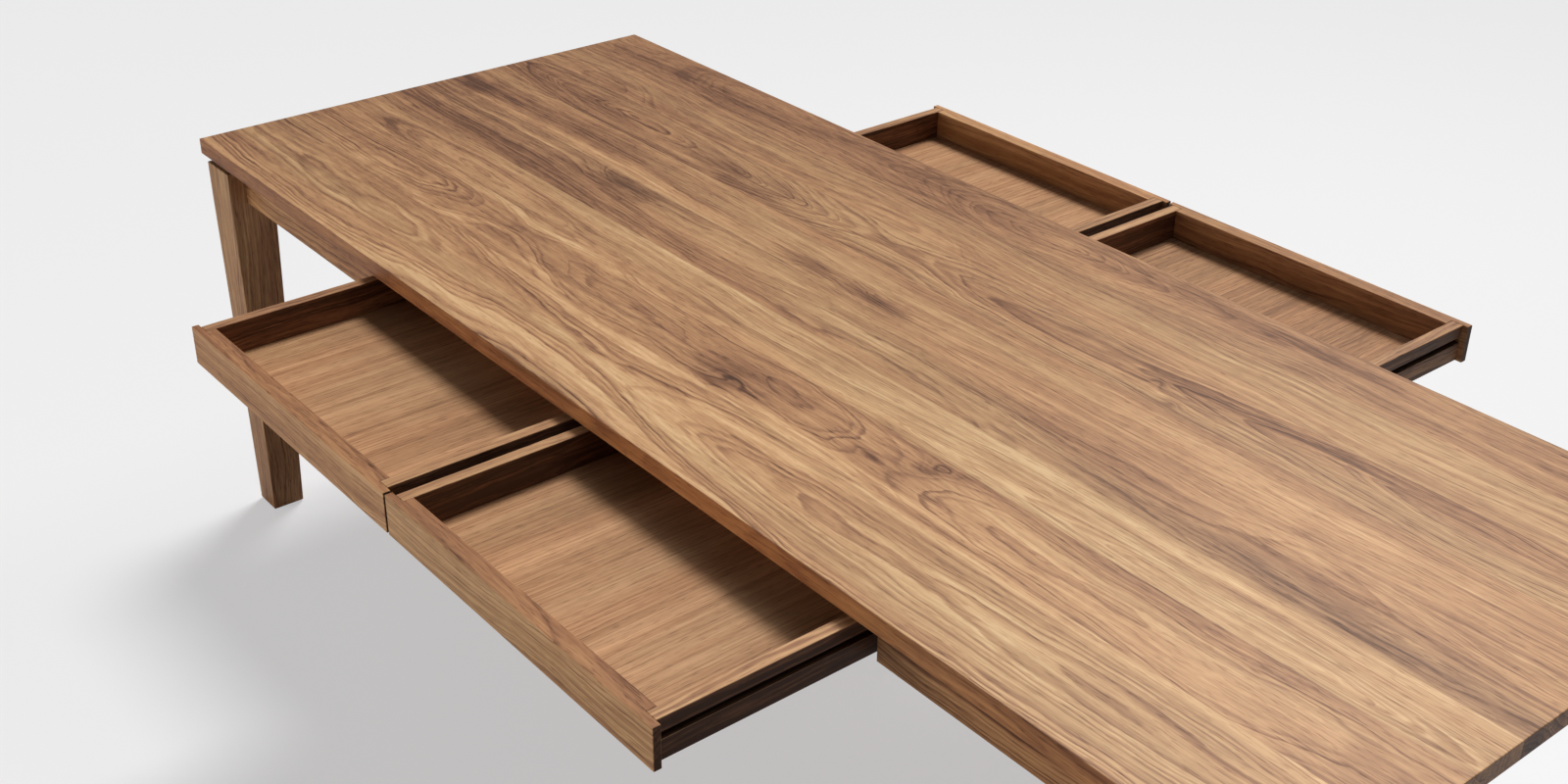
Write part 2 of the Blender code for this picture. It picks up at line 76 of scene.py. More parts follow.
# Knots and swirls of the top: x, y, half length, half width, ring bulge, darkening
KNOTS = (
    (-0.59, -0.002, 0.110, 0.032, 0.020, 0.26),
    (-0.05, 0.045, 0.090, 0.026, 0.022, 0.12),
    (0.03, 0.050, 0.060, 0.018, -0.018, 0.36),
    (0.08, -0.260, 0.080, 0.028, 0.018, 0.32),
    (-1.00, -0.185, 0.080, 0.018, 0.014, 0.22),
    (-0.42, 0.185, 0.110, 0.030, 0.000, 0.10),
    (-0.13, 0.057, 0.060, 0.018, 0.012, 0.30),
    (-0.52, 0.196, 0.110, 0.022, 0.000, 0.20),
    (0.35, -0.385, 0.040, 0.014, 0.006, 0.16),
    (0.07, -0.292, 0.040, 0.008, 0.004, 0.22),
    (0.36, -0.250, 0.026, 0.007, 0.006, 0.22),
    (0.50, -0.260, 0.030, 0.006, 0.004, 0.20),
    (0.43, -0.215, 0.016, 0.012, 0.008, 0.22),
    (0.46, 0.188, 0.014, 0.010, 0.010, 0.22),
    (0.51, 0.163, 0.016, 0.010, 0.010, 0.20),
    (-0.90, -0.292, 0.014, 0.010, 0.008, 0.20),
    (1.02, -0.066, 0.260, 0.022, 0.004, 0.20),
    (-1.15, 0.060, 0.090, 0.022, 0.010, 0.18),
    (0.44, -0.200, 0.025, 0.012, 0.014, 0.22),
)

# Painted shade across all the staves, darkening the left end and the far edge of the top where less
# light falls: x, y, half length, half width, darkening
PAINTED_SHADE_WASHES = (
    (-1.15, 0.050, 0.550, 0.500, 0.165),
    (-0.20, 0.480, 0.900, 0.180, 0.100),
)

# Stains and pale streaks within a stave: x, y, half length, half width, darkening
STAINS = (
    (-1.16, 0.060, 0.080, 0.030, 0.14),
    (-0.68, -0.018, 0.130, 0.006, 0.14),
    (-0.85, 0.003, 0.200, 0.005, -0.18),
    (-0.32, 0.016, 0.070, 0.007, -0.16),
    (-1.03, -0.165, 0.110, 0.012, 0.16),
    (-0.55, -0.152, 0.080, 0.012, 0.12),
    (0.40, -0.285, 0.240, 0.006, -0.20),
    (-0.48, -0.197, 0.300, 0.007, -0.18),
    (0.50, -0.100, 0.400, 0.007, -0.12),
    (-0.75, 0.090, 0.450, 0.045, 0.09),
    (-0.98, -0.030, 0.220, 0.045, 0.08),
    (-0.75, -0.145, 0.300, 0.018, 0.10),
    (0.85, -0.055, 0.330, 0.040, 0.08),
    (0.80, -0.064, 0.400, 0.015, 0.17),
    (-0.20, 0.440, 0.350, 0.025, 0.07),
    (-0.70, -0.190, 0.260, 0.006, -0.20),
    (-0.48, -0.288, 0.320, 0.005, -0.24),
    (0.75, -0.108, 0.350, 0.010, -0.06),
    (0.75, 0.070, 0.220, 0.028, -0.10),
    (0.12, 0.405, 0.160, 0.030, -0.09),
    (0.05, 0.430, 0.050, 0.018, -0.14),
    (-0.80, 0.400, 0.350, 0.030, 0.06),
    (0.65, 0.385, 0.200, 0.022, 0.08),
    (-0.30, 0.225, 0.090, 0.005, -0.22),
    (-0.02, 0.160, 0.090, 0.007, 0.16),
    (0.88, 0.205, 0.160, 0.040, 0.08),
    (-0.92, -0.285, 0.060, 0.020, -0.14),
    (0.62, -0.310, 0.300, 0.007, -0.16),
    (0.70, -0.326, 0.320, 0.004, 0.16),
    (0.30, -0.400, 0.180, 0.022, -0.10),
    (-0.10, -0.365, 0.160, 0.040, -0.09),
    (0.72, -0.290, 0.250, 0.040, 0.05),
    (0.76, 0.222, 0.360, 0.013, 0.16),
    (0.53, 0.436, 0.160, 0.015, 0.16),
    (0.90, 0.092, 0.200, 0.022, -0.13),
    (0.80, 0.292, 0.260, 0.018, -0.09),
    (0.40, -0.026, 0.230, 0.009, 0.14),
    (0.17, 0.126, 0.130, 0.009, 0.12),
    (-0.92, -0.360, 0.250, 0.080, 0.06),
)

# Walnut from its darkest lines to its palest streaks: place on the ramp and linear colour
WALNUT_TONES = (
    (0.00, (0.060, 0.025, 0.013)),
    (0.22, (0.150, 0.064, 0.031)),
    (0.45, (0.320, 0.154, 0.076)),
    (0.62, (0.450, 0.238, 0.114)),
    (0.80, (0.580, 0.332, 0.162)),
    (1.00, (0.740, 0.470, 0.248)),
)
VENEER_TONES = (
    (0.00, (0.200, 0.092, 0.044)),
    (0.50, (0.425, 0.212, 0.100)),
    (1.00, (0.640, 0.360, 0.185)),
)
RUNNER_TONES = (
    (0.00, (0.020, 0.012, 0.008)),
    (1.00, (0.110, 0.062, 0.036)),
)
# Casts, as shares of red, green and blue: olive in streaks where the wood is stained, and warm on the
# oiled long edges of the top and, in part, on the aprons and drawer fronts
OLIVE_CAST = (0.90, 0.94, 0.94, 1.0)
WARM_CAST = (1.06, 0.88, 0.72, 1.0)

# Noises of the grain: changes per metre along the board and across it, detail, roughness, distortion
WANDER_NOISE = ((1.5, 4.5, 4.5), 2.0, 0.5, 0.0)
RIPPLE_NOISE = ((6.5, 20.0, 20.0), 2.0, 0.5, 0.0)
FUZZ_NOISE = ((28.0, 120.0, 120.0), 2.0, 0.5, 0.0)
CLOUD_NOISE = ((0.8, 15.0, 15.0), 4.0, 0.6, 0.0)
OLIVE_NOISE = ((0.7, 9.0, 9.0), 3.0, 0.6, 0.0)
STREAK_NOISE = ((2.2, 150.0, 150.0), 4.0, 0.65, 0.0)
FIBRE_NOISE = ((15.0, 430.0, 430.0), 2.0, 0.6, 0.0)
FIGURE_NOISE = ((26.0, 5.0, 5.0), 1.0, 0.5, 0.6)
PORE_NOISE = ((42.0, 640.0, 640.0), 1.0, 0.5, 0.0)
NOISE_MIDDLE = 0.5
# How far a seed moves the noises along y and z, as shares of how far it moves them along x
SEED_SHIFT_SHARES = (1.7, 0.6)

# How far the slow, the middle and the fine noise move the rings across the grain, from side to side
WANDER_REACH = 0.10
RIPPLE_REACH = 0.022
FUZZ_REACH = 0.0030

# Growth rings: how their spacing varies, where in a ring its dark late wood starts and is darkest, and
# how strong that is in the weakest ring
UNEVEN_RATE = 0.45
UNEVEN_DETAIL = 1.0
UNEVEN_TURNS = 2.6
LATE_START_SHARE = 0.35
LATE_PEAK_SHARE = 0.86
WEAKEST_LATE_SHARE = 0.35
# Thin lines and broad bands that follow the rings: changes per ring, and of the bands also per metre
LINE_RATE = 2.3
LINE_DETAIL = 2.0
BAND_RATE = 0.33
BAND_RATE_ALONG = 0.9
BAND_DETAIL = 3.0
BAND_ROUGHNESS = 0.6
# Levels of their noises between which the olive streaks set in and the pores fade out
OLIVE_RANGE = (0.44, 0.66)
PORE_RANGE = (0.30, 0.41)

# What each part of the grain adds to the wood's value, its relief and its roughness
MIDDLE_VALUE = 0.69
LATE_VALUE = -0.40
BAND_VALUE = 0.95
LINE_VALUE = 0.25
CLOUD_VALUE = 0.88
STREAK_VALUE = 0.70
FIGURE_VALUE = 0.10
FIBRE_VALUE = 0.44
PORE_VALUE = -0.20
LATE_HEIGHT = -0.25
PORE_HEIGHT = -1.0
STREAK_GLOSS = 0.14
LATE_GLOSS = 0.05

# Surface of the oiled wood, how much darker its end grain is, and the painted shade on the top's long
# edges, faces that get little light
RELIEF_STRENGTH = 0.25
RELIEF_DEPTH = 0.0004
WOOD_SPECULAR = 0.24
BOARD_ROUGHNESS = 0.5
TOP_ROUGHNESS = 0.46
END_SHADE = 0.22
TOP_EDGE_PAINTED_SHADE = 0.14
# How far a face's normal points along an axis, from not counting as square to it to counting fully
FACING_RANGE = (0.6, 0.9)
# Contrast left to the rings on faces that cut them nearly flat
CALM_FACE_SHARE = 0.35

# The glue lines of the top, and the noise that warps its knots and stains
SEAM_HALF_WIDTH = 0.0005
SEAM_SHADE = 0.10
WARP_SCALE = (9.0, 22.0, 9.0)
WARP_REACH = (1.5, 1.5, 0.0)
# Seeds of the staves: the first, the step from one to the next, and what both are multiplied by
STAVE_SEED_START = 0.05
STAVE_SEED_STEP = 0.11
STAVE_SEED_RANGE = 60.0

# Seeds of the boards, and where the pith of a board lies from its middle. One distance differs from
# board to board: it starts at PITH_NEAREST and is spread over PITH_SPREAD in steps of GOLDEN_SHARE
SEED_START = 1.0
SEED_STEP = 7.31
GOLDEN_SHARE = 0.618
PITH_NEAREST = 0.03
PITH_SPREAD = 0.05
LEG_PITH_ABOVE = 0.06
RUNNER_PITH_ABOVE = -0.05
VENEER_PITH = (0.5, -0.4)
CROSS_BOARD_PITH_BESIDE = 0.04
LONG_BOARD_PITH_BESIDE = 0.05

# Wood of a plain board
BOARD_RISE = 0.02
BOARD_SPACING = 0.0065
BOARD_WANDER = 0.8
BOARD_CONTRAST = 0.6
# Wood of each kind of board, where it isn't that of a plain one
LEG_WOOD = {"tone": -0.03}
RUNNER_WOOD = {"tones": RUNNER_TONES}
FLOOR_VENEER = {"spacing": 0.0062, "wander": 0.08, "contrast": 0.7, "fibre": 1.9, "roughness": 0.55,
                "tones": VENEER_TONES}
CROSS_BOARD_WOOD = {"tone": -0.05}
LONG_BOARD_WOOD = {"wander": 0.5, "tone": -0.02, "contrast": 1.1, "warmth": 0.70}
# The drawer fronts' ends are made far darker than end grain alone: darker end grain, and painted shade
# on ends that get little light
FRONT_WOOD = {"wander": 0.5, "warmth": 0.40, "end_grain_and_painted_shade": 0.78, "calm_top": True}
# Painted shade on the top faces of the near fronts, and a little painted light, as a negative shade, on
# those of the far fronts
NEAR_FRONT_WOOD = {"contrast": 0.9, "painted_top_shade": 0.38}
FAR_FRONT_WOOD = {"contrast": 0.5, "painted_top_shade": -0.04}
# How pale the four drawer fronts are; the back right one is made darker, a painted shade on its inner
# face, which lies in shade under the top
FRONT_TONES = {
    "drawer_front_left_front": 0.19,
    "drawer_front_right_front": 0.14,
    "drawer_back_left_front": -0.03,
    # Made darker as painted shade
    "drawer_back_right_front": -0.17,
}
# The drawer floors and sides, with painted shade: the back right floor is made darker, the faces of the
# sides square to X are made darker, the front right ones the most, and the front right sides have a
# paler tone, painted light on their top edges
FLOOR_TONE = -0.02
PAINTED_SHADE_FLOOR_TONE = -0.26
SIDE_WOOD = {"tone": -0.02, "painted_side_shade": 0.40}
MORE_SHADED_SIDE_WOOD = {"tone": 0.03, "painted_side_shade": 0.64}

# Painted shade in the groove that each drawer side runs on: its faces are made near black, as the
# recess lies in shade
GROOVE_MIDDLE_BELOW_TOP = 0.025
GROOVE_HALF_HEIGHT = 0.0052
GROOVE_REACH = 0.0085
GROOVE_PAINTED_SHADE = (0.14, 0.11, 0.09, 1.0)

# Plastic and metal: colour, roughness, how metallic, and changes of the mottle per metre
NYLON = ((0.03, 0.03, 0.03), 0.5, 0.0, 900)
STEEL = ((0.55, 0.55, 0.57), 0.35, 1.0, 700)
MOTTLE_DETAIL = 3.0
MOTTLE_RANGE = (0.3, 0.7)
MOTTLE_SHARES = (0.8, 1.2)
MOTTLE_ROUGHNESS = 0.15

# Studio: a soft key like a sun from behind and above, a small sheen lamp behind the table and another
# above its right end, a broad low fill in front, and a pale room
BACKDROP_COLOUR = (0.79, 0.79, 0.80)
SKY_COLOUR = (0.10, 0.10, 0.103)
GLOSSY_SHARE = 0.20
FLOOR_HALF_LENGTH = 30.0
FLOOR_COLOUR = (0.84, 0.84, 0.845)
FLOOR_BOUNCE_COLOUR = (0.55, 0.55, 0.55)
FLOOR_GLOW_COLOUR = (0.93, 0.93, 0.94, 1.0)
FLOOR_GLOW_SHARE = 0.50
FLOOR_ROUGHNESS = 0.7
FLOOR_SPECULAR = 0.25
KEY_PATH = (0.18, -0.45, -1.0)
KEY_ANGLE_DEG = 18
KEY_STRENGTH = 2.42
SHEEN_PLACE = (-0.6, 2.6, 3.4)
SHEEN_AIM = (1.1, -0.3, 0.75)
SHEEN_SIZE = (1.5, 1.2)
SHEEN_POWER = 34
SHEEN_TINT = (1.0, 0.965, 0.89)
END_LAMP_PLACE = (1.5, 0.1, 3.0)
END_LAMP_AIM = (1.35, -0.1, 0.75)
END_LAMP_SIZE = (1.0, 1.0)
END_LAMP_POWER = 3.5
END_LAMP_TINT = (0.86, 1.0, 1.18)
END_LAMP_SPREAD_DEG = 75
FILL_PLACE = (-4.2, -8.6, 2.1)
FILL_AIM = (-0.2, 0.0, 0.6)
FILL_SIZE = (6.5, 1.8)
FILL_POWER = 245
FILL_TINT = (1.0, 0.94, 0.86)
# Spread of the sheen lamp and the fill
LAMP_SPREAD_DEG = 180


class Wires:
    """Short calls that add and join shader nodes in one node tree."""

    def __init__(self, tree):
        self.tree = tree

    def add(self, kind, **settings):
        node = self.tree.nodes.new(kind)
        for name, value in settings.items():
            setattr(node, name, value)
        return node

    def feed(self, socket, value):
        if isinstance(value, bpy.types.NodeSocket):
            self.tree.links.new(value, socket)
        elif value is not None:
            socket.default_value = value

    def math(self, operation, first, second=None, third=None, clamp=False):
        node = self.add("ShaderNodeMath", operation=operation, use_clamp=clamp)
        for socket, value in zip(node.inputs, (first, second, third)):
            self.feed(socket, value)
        return node.outputs[0]

    def vector(self, operation, first, second=None):
        node = self.add("ShaderNodeVectorMath", operation=operation)
        self.feed(node.inputs[0], first)
        self.feed(node.inputs[1], second)
        return node.outputs[0]

    def split(self, vector):
        node = self.add("ShaderNodeSeparateXYZ")
        self.feed(node.inputs[0], vector)
        return node.outputs

    def join(self, x, y, z):
        node = self.add("ShaderNodeCombineXYZ")
        for socket, value in zip(node.inputs, (x, y, z)):
            self.feed(socket, value)
        return node.outputs[0]

    def noise(self, vector, detail=2.0, roughness=0.5, distortion=0.0):
        node = self.add("ShaderNodeTexNoise", noise_dimensions="3D")
        self.feed(node.inputs["Vector"], vector)
        self.feed(node.inputs["Scale"], 1.0)
        self.feed(node.inputs["Detail"], detail)
        self.feed(node.inputs["Roughness"], roughness)
        self.feed(node.inputs["Distortion"], distortion)
        return node.outputs

    def noise_1d(self, value, detail):
        node = self.add("ShaderNodeTexNoise", noise_dimensions="1D")
        self.feed(node.inputs["W"], value)
        self.feed(node.inputs["Scale"], 1.0)
        self.feed(node.inputs["Detail"], detail)
        return node.outputs[0]

    def spread(self, value, from_low, from_high, to_low, to_high, smooth=False):
        """A value carried from one range to another."""
        kind = "SMOOTHSTEP" if smooth else "LINEAR"
        node = self.add("ShaderNodeMapRange", interpolation_type=kind)
        names = ("Value", "From Min", "From Max", "To Min", "To Max")
        for name, number in zip(names, (value, from_low, from_high, to_low, to_high)):
            self.feed(node.inputs[name], number)
        return node.outputs[0]

    def ramp(self, value, stops, interpolation="LINEAR"):
        """The colour at a value, from stops of place and colour."""
        node = self.add("ShaderNodeValToRGB")
        ramp = node.color_ramp
        ramp.interpolation = interpolation
        while len(ramp.elements) < len(stops):
            ramp.elements.new(1.0)
        for element, (place, colour) in zip(ramp.elements, stops):
            element.position = place
            element.color = (*colour, 1.0)
        self.feed(node.inputs[0], value)
        return node.outputs[0]

    def tinted(self, colour, share, cast):
        """A colour multiplied by a cast, in a given share."""
        node = self.add("ShaderNodeMix", data_type="RGBA", blend_type="MULTIPLY")
        open_inputs = {socket.name: socket for socket in node.inputs if socket.enabled}
        for name, value in (("Factor", share), ("A", colour), ("B", cast)):
            self.feed(open_inputs[name], value)
        return next(socket for socket in node.outputs if socket.enabled)

    def centred(self, value, amount):
        """A noise value about zero, times an amount."""
        return self.math("MULTIPLY", self.math("SUBTRACT", value, NOISE_MIDDLE), amount)

    def raised(self, total, value, amount):
        """A total with an amount of a value added to it."""
        return self.math("ADD", total, self.math("MULTIPLY", value, amount))

    def lowered(self, total, value, amount):
        """A total with an amount of a value taken from it."""
        return self.math("SUBTRACT", total, self.math("MULTIPLY", value, amount))


# Inputs of the grain: name, kind of socket, and the value of one that is left alone
GRAIN_INPUTS = (
    ("Place", "NodeSocketVector", None),
    ("Pith Y", "NodeSocketFloat", 0.0),
    ("Pith Z", "NodeSocketFloat", -0.05),
    ("Rise", "NodeSocketFloat", 0.02),
    ("Spacing", "NodeSocketFloat", 0.006),
    ("Seed", "NodeSocketFloat", 0.0),
    ("Tone", "NodeSocketFloat", 0.0),
    ("Bulge", "NodeSocketFloat", 0.0),
    ("Wander", "NodeSocketFloat", 1.0),
    ("Contrast", "NodeSocketFloat", 1.0),
    ("Fibre", "NodeSocketFloat", 1.0),
)


def ring_turns(w, given, bent, along):
    """How many rings lie between the pith and a place, with uneven spacing."""
    beside = w.math("SUBTRACT", bent[1], given["Pith Y"])
    below = w.math("SUBTRACT", bent[2], given["Pith Z"])
    below = w.lowered(below, given["Rise"], along)
    squares = w.math("ADD", w.math("MULTIPLY", beside, beside), w.math("MULTIPLY", below, below))
    radius = w.math("ADD", w.math("SQRT", squares), given["Bulge"])
    turns = w.math("DIVIDE", radius, given["Spacing"])
    uneven_place = w.math("ADD", w.math("MULTIPLY", turns, UNEVEN_RATE), given["Seed"])
    uneven = w.noise_1d(uneven_place, UNEVEN_DETAIL)
    return w.math("ADD", turns, w.centred(uneven, UNEVEN_TURNS))


def late_wood(w, turns, seed):
    """1 on the late wood of the strongest rings, less on that of weaker ones, and 0 between them."""
    part = w.math("FRACT", turns)
    year = w.math("FLOOR", turns)
    rise = w.spread(part, LATE_START_SHARE, LATE_PEAK_SHARE, 0.0, 1.0, smooth=True)
    fall = w.spread(part, LATE_PEAK_SHARE, 1.0, 1.0, 0.0, smooth=True)
    late = w.math("MULTIPLY", rise, fall)
    random = w.add("ShaderNodeTexWhiteNoise", noise_dimensions="1D")
    w.feed(random.inputs["W"], w.math("ADD", year, seed))
    strength = w.spread(random.outputs[0], 0.0, 1.0, WEAKEST_LATE_SHARE, 1.0)
    return w.math("MULTIPLY", late, strength)


def make_grain_group():
    """Growth rings about a pith line that runs nearly along X, cut by the board's surface.

    Value goes from dark to pale along the wood's tones, and Height is low in the pores.
    """
    tree = bpy.data.node_groups.new("walnut_grain", "ShaderNodeTree")
    for name, kind, value in GRAIN_INPUTS:
        socket = tree.interface.new_socket(name, in_out="INPUT", socket_type=kind)
        if value is not None:
            socket.default_value = value
    for name in ("Value", "Height", "Gloss", "Olive"):
        tree.interface.new_socket(name, in_out="OUTPUT", socket_type="NodeSocketFloat")
    w = Wires(tree)
    given = w.add("NodeGroupInput").outputs
    place, seed = given["Place"], given["Seed"]
    shift = w.join(seed, *(w.math("MULTIPLY", seed, share) for share in SEED_SHIFT_SHARES))

    def grain_noise(recipe, source=place):
        scale, detail, roughness, distortion = recipe
        stretched = w.vector("MULTIPLY", source, scale)
        return w.noise(w.vector("ADD", stretched, shift), detail, roughness, distortion)

    def drift(recipe, reach):
        """A shift across the grain by up to half the reach to either side."""
        offset = w.vector("SUBTRACT", grain_noise(recipe)[1], (NOISE_MIDDLE,) * 3)
        return w.vector("MULTIPLY", offset, (0.0, reach, reach))

    wander = drift(WANDER_NOISE, WANDER_REACH)
    ripple = drift(RIPPLE_NOISE, RIPPLE_REACH)
    fuzz = drift(FUZZ_NOISE, FUZZ_REACH)
    scaled = w.add("ShaderNodeVectorMath", operation="SCALE")
    w.feed(scaled.inputs[0], w.vector("ADD", wander, ripple))
    w.feed(scaled.inputs["Scale"], given["Wander"])
    flow = w.vector("ADD", w.vector("ADD", place, scaled.outputs[0]), fuzz)

    bent = w.split(flow)
    along = w.split(place)[0]
    turns = ring_turns(w, given, bent, along)
    late = late_wood(w, turns, seed)
    line = w.noise_1d(w.math("ADD", w.math("MULTIPLY", turns, LINE_RATE), seed), LINE_DETAIL)
    band_along = w.math("MULTIPLY", along, BAND_RATE_ALONG)
    band_place = w.join(band_along, w.math("MULTIPLY", turns, BAND_RATE), seed)
    band = w.noise(band_place, BAND_DETAIL, BAND_ROUGHNESS)[0]
    cloud = grain_noise(CLOUD_NOISE, source=flow)[0]
    olive = grain_noise(OLIVE_NOISE, source=flow)[0]
    olive = w.spread(olive, *OLIVE_RANGE, 0.0, 1.0, smooth=True)
    streak = grain_noise(STREAK_NOISE, source=flow)[0]
    fibre = grain_noise(FIBRE_NOISE)[0]
    figure = grain_noise(FIGURE_NOISE)[0]
    pores = grain_noise(PORE_NOISE)[0]
    pores = w.spread(pores, *PORE_RANGE, 1.0, 0.0, smooth=True)

    rings = w.math("ADD", w.math("MULTIPLY", late, LATE_VALUE), w.centred(band, BAND_VALUE))
    rings = w.math("ADD", rings, w.centred(line, LINE_VALUE))
    value = w.math("ADD", w.math("MULTIPLY", rings, given["Contrast"]), given["Tone"])
    fine = w.raised(w.centred(fibre, FIBRE_VALUE), pores, PORE_VALUE)
    fine = w.math("MULTIPLY", fine, given["Fibre"])
    slow = (w.centred(cloud, CLOUD_VALUE), w.centred(streak, STREAK_VALUE),
            w.centred(figure, FIGURE_VALUE))
    for change in (MIDDLE_VALUE, *slow, fine):
        value = w.math("ADD", value, change)
    out = w.add("NodeGroupOutput")
    height = w.raised(w.math("MULTIPLY", late, LATE_HEIGHT), pores, PORE_HEIGHT)
    gloss = w.math("ADD", w.centred(streak, STREAK_GLOSS), w.centred(late, LATE_GLOSS))
    for name, result in (("Value", value), ("Height", height), ("Gloss", gloss), ("Olive", olive)):
        w.feed(out.inputs[name], result)
    return tree


GRAIN = make_grain_group()


def new_material(name):
    material = bpy.data.materials.new(name)
    material.use_nodes = True
    shader = material.node_tree.nodes["Principled BSDF"]
    return material, Wires(material.node_tree), shader


def use_grain(w, **inputs):
    node = w.add("ShaderNodeGroup", node_tree=GRAIN)
    for name, value in inputs.items():
        w.feed(node.inputs[name.replace("_", " ")], value)
    return node.outputs


def finish_wood(w, shader, value, grain, tones, roughness, casts):
    """Colour, gloss and relief of an oiled surface, from the grain's outputs."""
    colour = w.ramp(value, tones)
    for share, cast in ((grain["Olive"], OLIVE_CAST), *casts):
        colour = w.tinted(colour, share, cast)
    w.feed(shader.inputs["Base Color"], colour)
    w.feed(shader.inputs["Roughness"], w.math("ADD", roughness, grain["Gloss"], clamp=True))
    shader.inputs["Specular IOR Level"].default_value = WOOD_SPECULAR
    bump = w.add("ShaderNodeBump")
    bump.inputs["Strength"].default_value = RELIEF_STRENGTH
    bump.inputs["Distance"].default_value = RELIEF_DEPTH
    w.feed(bump.inputs["Height"], grain["Height"])
    w.feed(shader.inputs["Normal"], bump.outputs[0])


def grain_place(w, middle, axis):
    """Coordinates about a board's middle, turned so that its grain runs along X."""
    object_place = w.add("ShaderNodeTexCoord").outputs["Object"]
    x, y, z = w.split(w.vector("SUBTRACT", object_place, tuple(middle)))
    order = {"x": (x, y, z), "y": (y, x, z), "z": (z, x, y)}[axis]
    return w.join(*order)


def faces_along(w, axis):
    """1 on faces square to an axis, and 0 on the others."""
    normal = w.split(w.add("ShaderNodeTexCoord").outputs["Normal"])
    part = w.math("ABSOLUTE", normal["xyz".index(axis)])
    return w.spread(part, *FACING_RANGE, 0.0, 1.0, smooth=True)


def calmed(w, contrast, axis):
    """Ring contrast that is weaker on faces square to an axis, where the rings are cut nearly flat."""
    left = w.spread(faces_along(w, axis), 0.0, 1.0, 1.0, CALM_FACE_SHARE)
    return w.math("MULTIPLY", contrast, left)


def in_groove(w, low, high, face):
    """1 inside the runner's groove of a drawer side, whose grooved face is "low" or "high" along X."""
    place = w.split(w.add("ShaderNodeTexCoord").outputs["Object"])
    face_x = low.x if face == "low" else high.x
    depth = w.math("ABSOLUTE", w.math("SUBTRACT", place[0], face_x))
    above = w.math("SUBTRACT", place[2], high.z - GROOVE_MIDDLE_BELOW_TOP)
    from_middle = w.math("ABSOLUTE", above)
    near_face = w.math("LESS_THAN", depth, GROOVE_REACH)
    near_middle = w.math("LESS_THAN", from_middle, GROOVE_HALF_HEIGHT)
    return w.math("MULTIPLY", near_face, near_middle)


def board_material(name, node, axis, seed, pith, spacing=BOARD_SPACING, tone=0.0,
                   wander=BOARD_WANDER, contrast=BOARD_CONTRAST, fibre=1.0, tones=WALNUT_TONES,
                   roughness=BOARD_ROUGHNESS, end_grain_and_painted_shade=END_SHADE, painted_side_shade=0.0, painted_top_shade=0.0,
                   warmth=0.0, calm_top=False, groove_face=None):
    """Wood for one board, whose pith lies beside and above its middle by the two distances given."""
    material, w, shader = new_material(name)
    low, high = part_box(node)
    grain = use_grain(w, Place=grain_place(w, (low + high) / 2, axis), Pith_Y=pith[0], Pith_Z=pith[1],
                      Rise=BOARD_RISE, Spacing=spacing, Seed=seed, Tone=tone, Wander=wander,
                      Contrast=calmed(w, contrast, "z") if calm_top else contrast, Fibre=fibre)
    # Darker end grain, and on the drawer fronts painted shade as well
    value = w.lowered(grain["Value"], faces_along(w, axis), end_grain_and_painted_shade)
    # Painted shade on faces square to Z and to X, made paler instead where the amount is below zero
    for face_axis, shade in (("z", painted_top_shade), ("x", painted_side_shade)):
        if shade:
            value = w.lowered(value, faces_along(w, face_axis), shade)
    casts = [(warmth, WARM_CAST)] if warmth else []
    # Painted shade inside the runner's groove
    if groove_face:
        casts.append((in_groove(w, low, high, groove_face), GROOVE_PAINTED_SHADE))
    finish_wood(w, shader, value, grain, tones, roughness, casts)
    return material


def grey(level):
    """A colour of one level in red, green and blue."""
    return (level,) * 3


def stave_values(w, share, column):
    """A value of the stave table, picked by the place across the top."""
    numbers = [stave[STAVE_COLUMNS.index(column)] for stave in STAVES]
    low, high = min(numbers), max(numbers)
    starts = (0.0, *STAVE_JOINT_SHARES)
    stops = [(start, grey((number - low) / (high - low))) for start, number in zip(starts, numbers)]
    picked = w.ramp(share, stops, "CONSTANT")
    return w.spread(picked, 0.0, 1.0, low, high)


def bump_at(w, place, spot, warp):
    """1 at the middle of a spot of the top, falling smoothly to 0 around it."""
    middle_x, middle_y, half_length, half_width = spot
    offset = w.join(w.math("DIVIDE", w.math("SUBTRACT", place[0], middle_x), half_length),
                    w.math("DIVIDE", w.math("SUBTRACT", place[1], middle_y), half_width), 0.0)
    away = w.add("ShaderNodeVectorMath", operation="LENGTH")
    w.feed(away.inputs[0], w.vector("ADD", offset, warp))
    squared = w.math("POWER", away.outputs["Value"], 2.0)
    return w.math("POWER", math.e, w.math("MULTIPLY", squared, -1.0))


def top_marks(w, object_place, place, share, edges, high_y, width):
    """Bulge of the rings, and darkening: the washes of painted shade lie across all staves, other marks
    within one.
    """
    warp = w.noise(w.vector("MULTIPLY", object_place, WARP_SCALE))[1]
    warp = w.vector("MULTIPLY", w.vector("SUBTRACT", warp, (NOISE_MIDDLE,) * 3), WARP_REACH)
    still = (0.0, 0.0, 0.0)
    bulge, shade = 0.0, 0.0
    # Painted shade: washes that darken the left end and the far edge of the top
    for *spot, dark in PAINTED_SHADE_WASHES:
        shade = w.raised(shade, bump_at(w, place, spot, still), dark)
    flares = [(spot, swell, 0.0, still) for *spot, swell in FLARES]
    knots = [(spot, swell, dark, warp) for *spot, swell, dark in KNOTS]
    stains = [(spot, 0.0, dark, warp) for *spot, dark in STAINS]
    for start, end in zip(edges, edges[1:]):
        swells, darks = 0.0, 0.0
        for spot, swell, dark, shift in (*flares, *knots, *stains):
            if start <= (high_y - spot[1]) / width < end:
                near = bump_at(w, place, spot, shift)
                if swell:
                    swells = w.raised(swells, near, swell)
                if dark:
                    darks = w.raised(darks, near, dark)
        inside = w.math("COMPARE", share, (start + end) / 2, (end - start) / 2)
        bulge = w.raised(bulge, inside, swells)
        shade = w.raised(shade, inside, darks)
    return bulge, shade


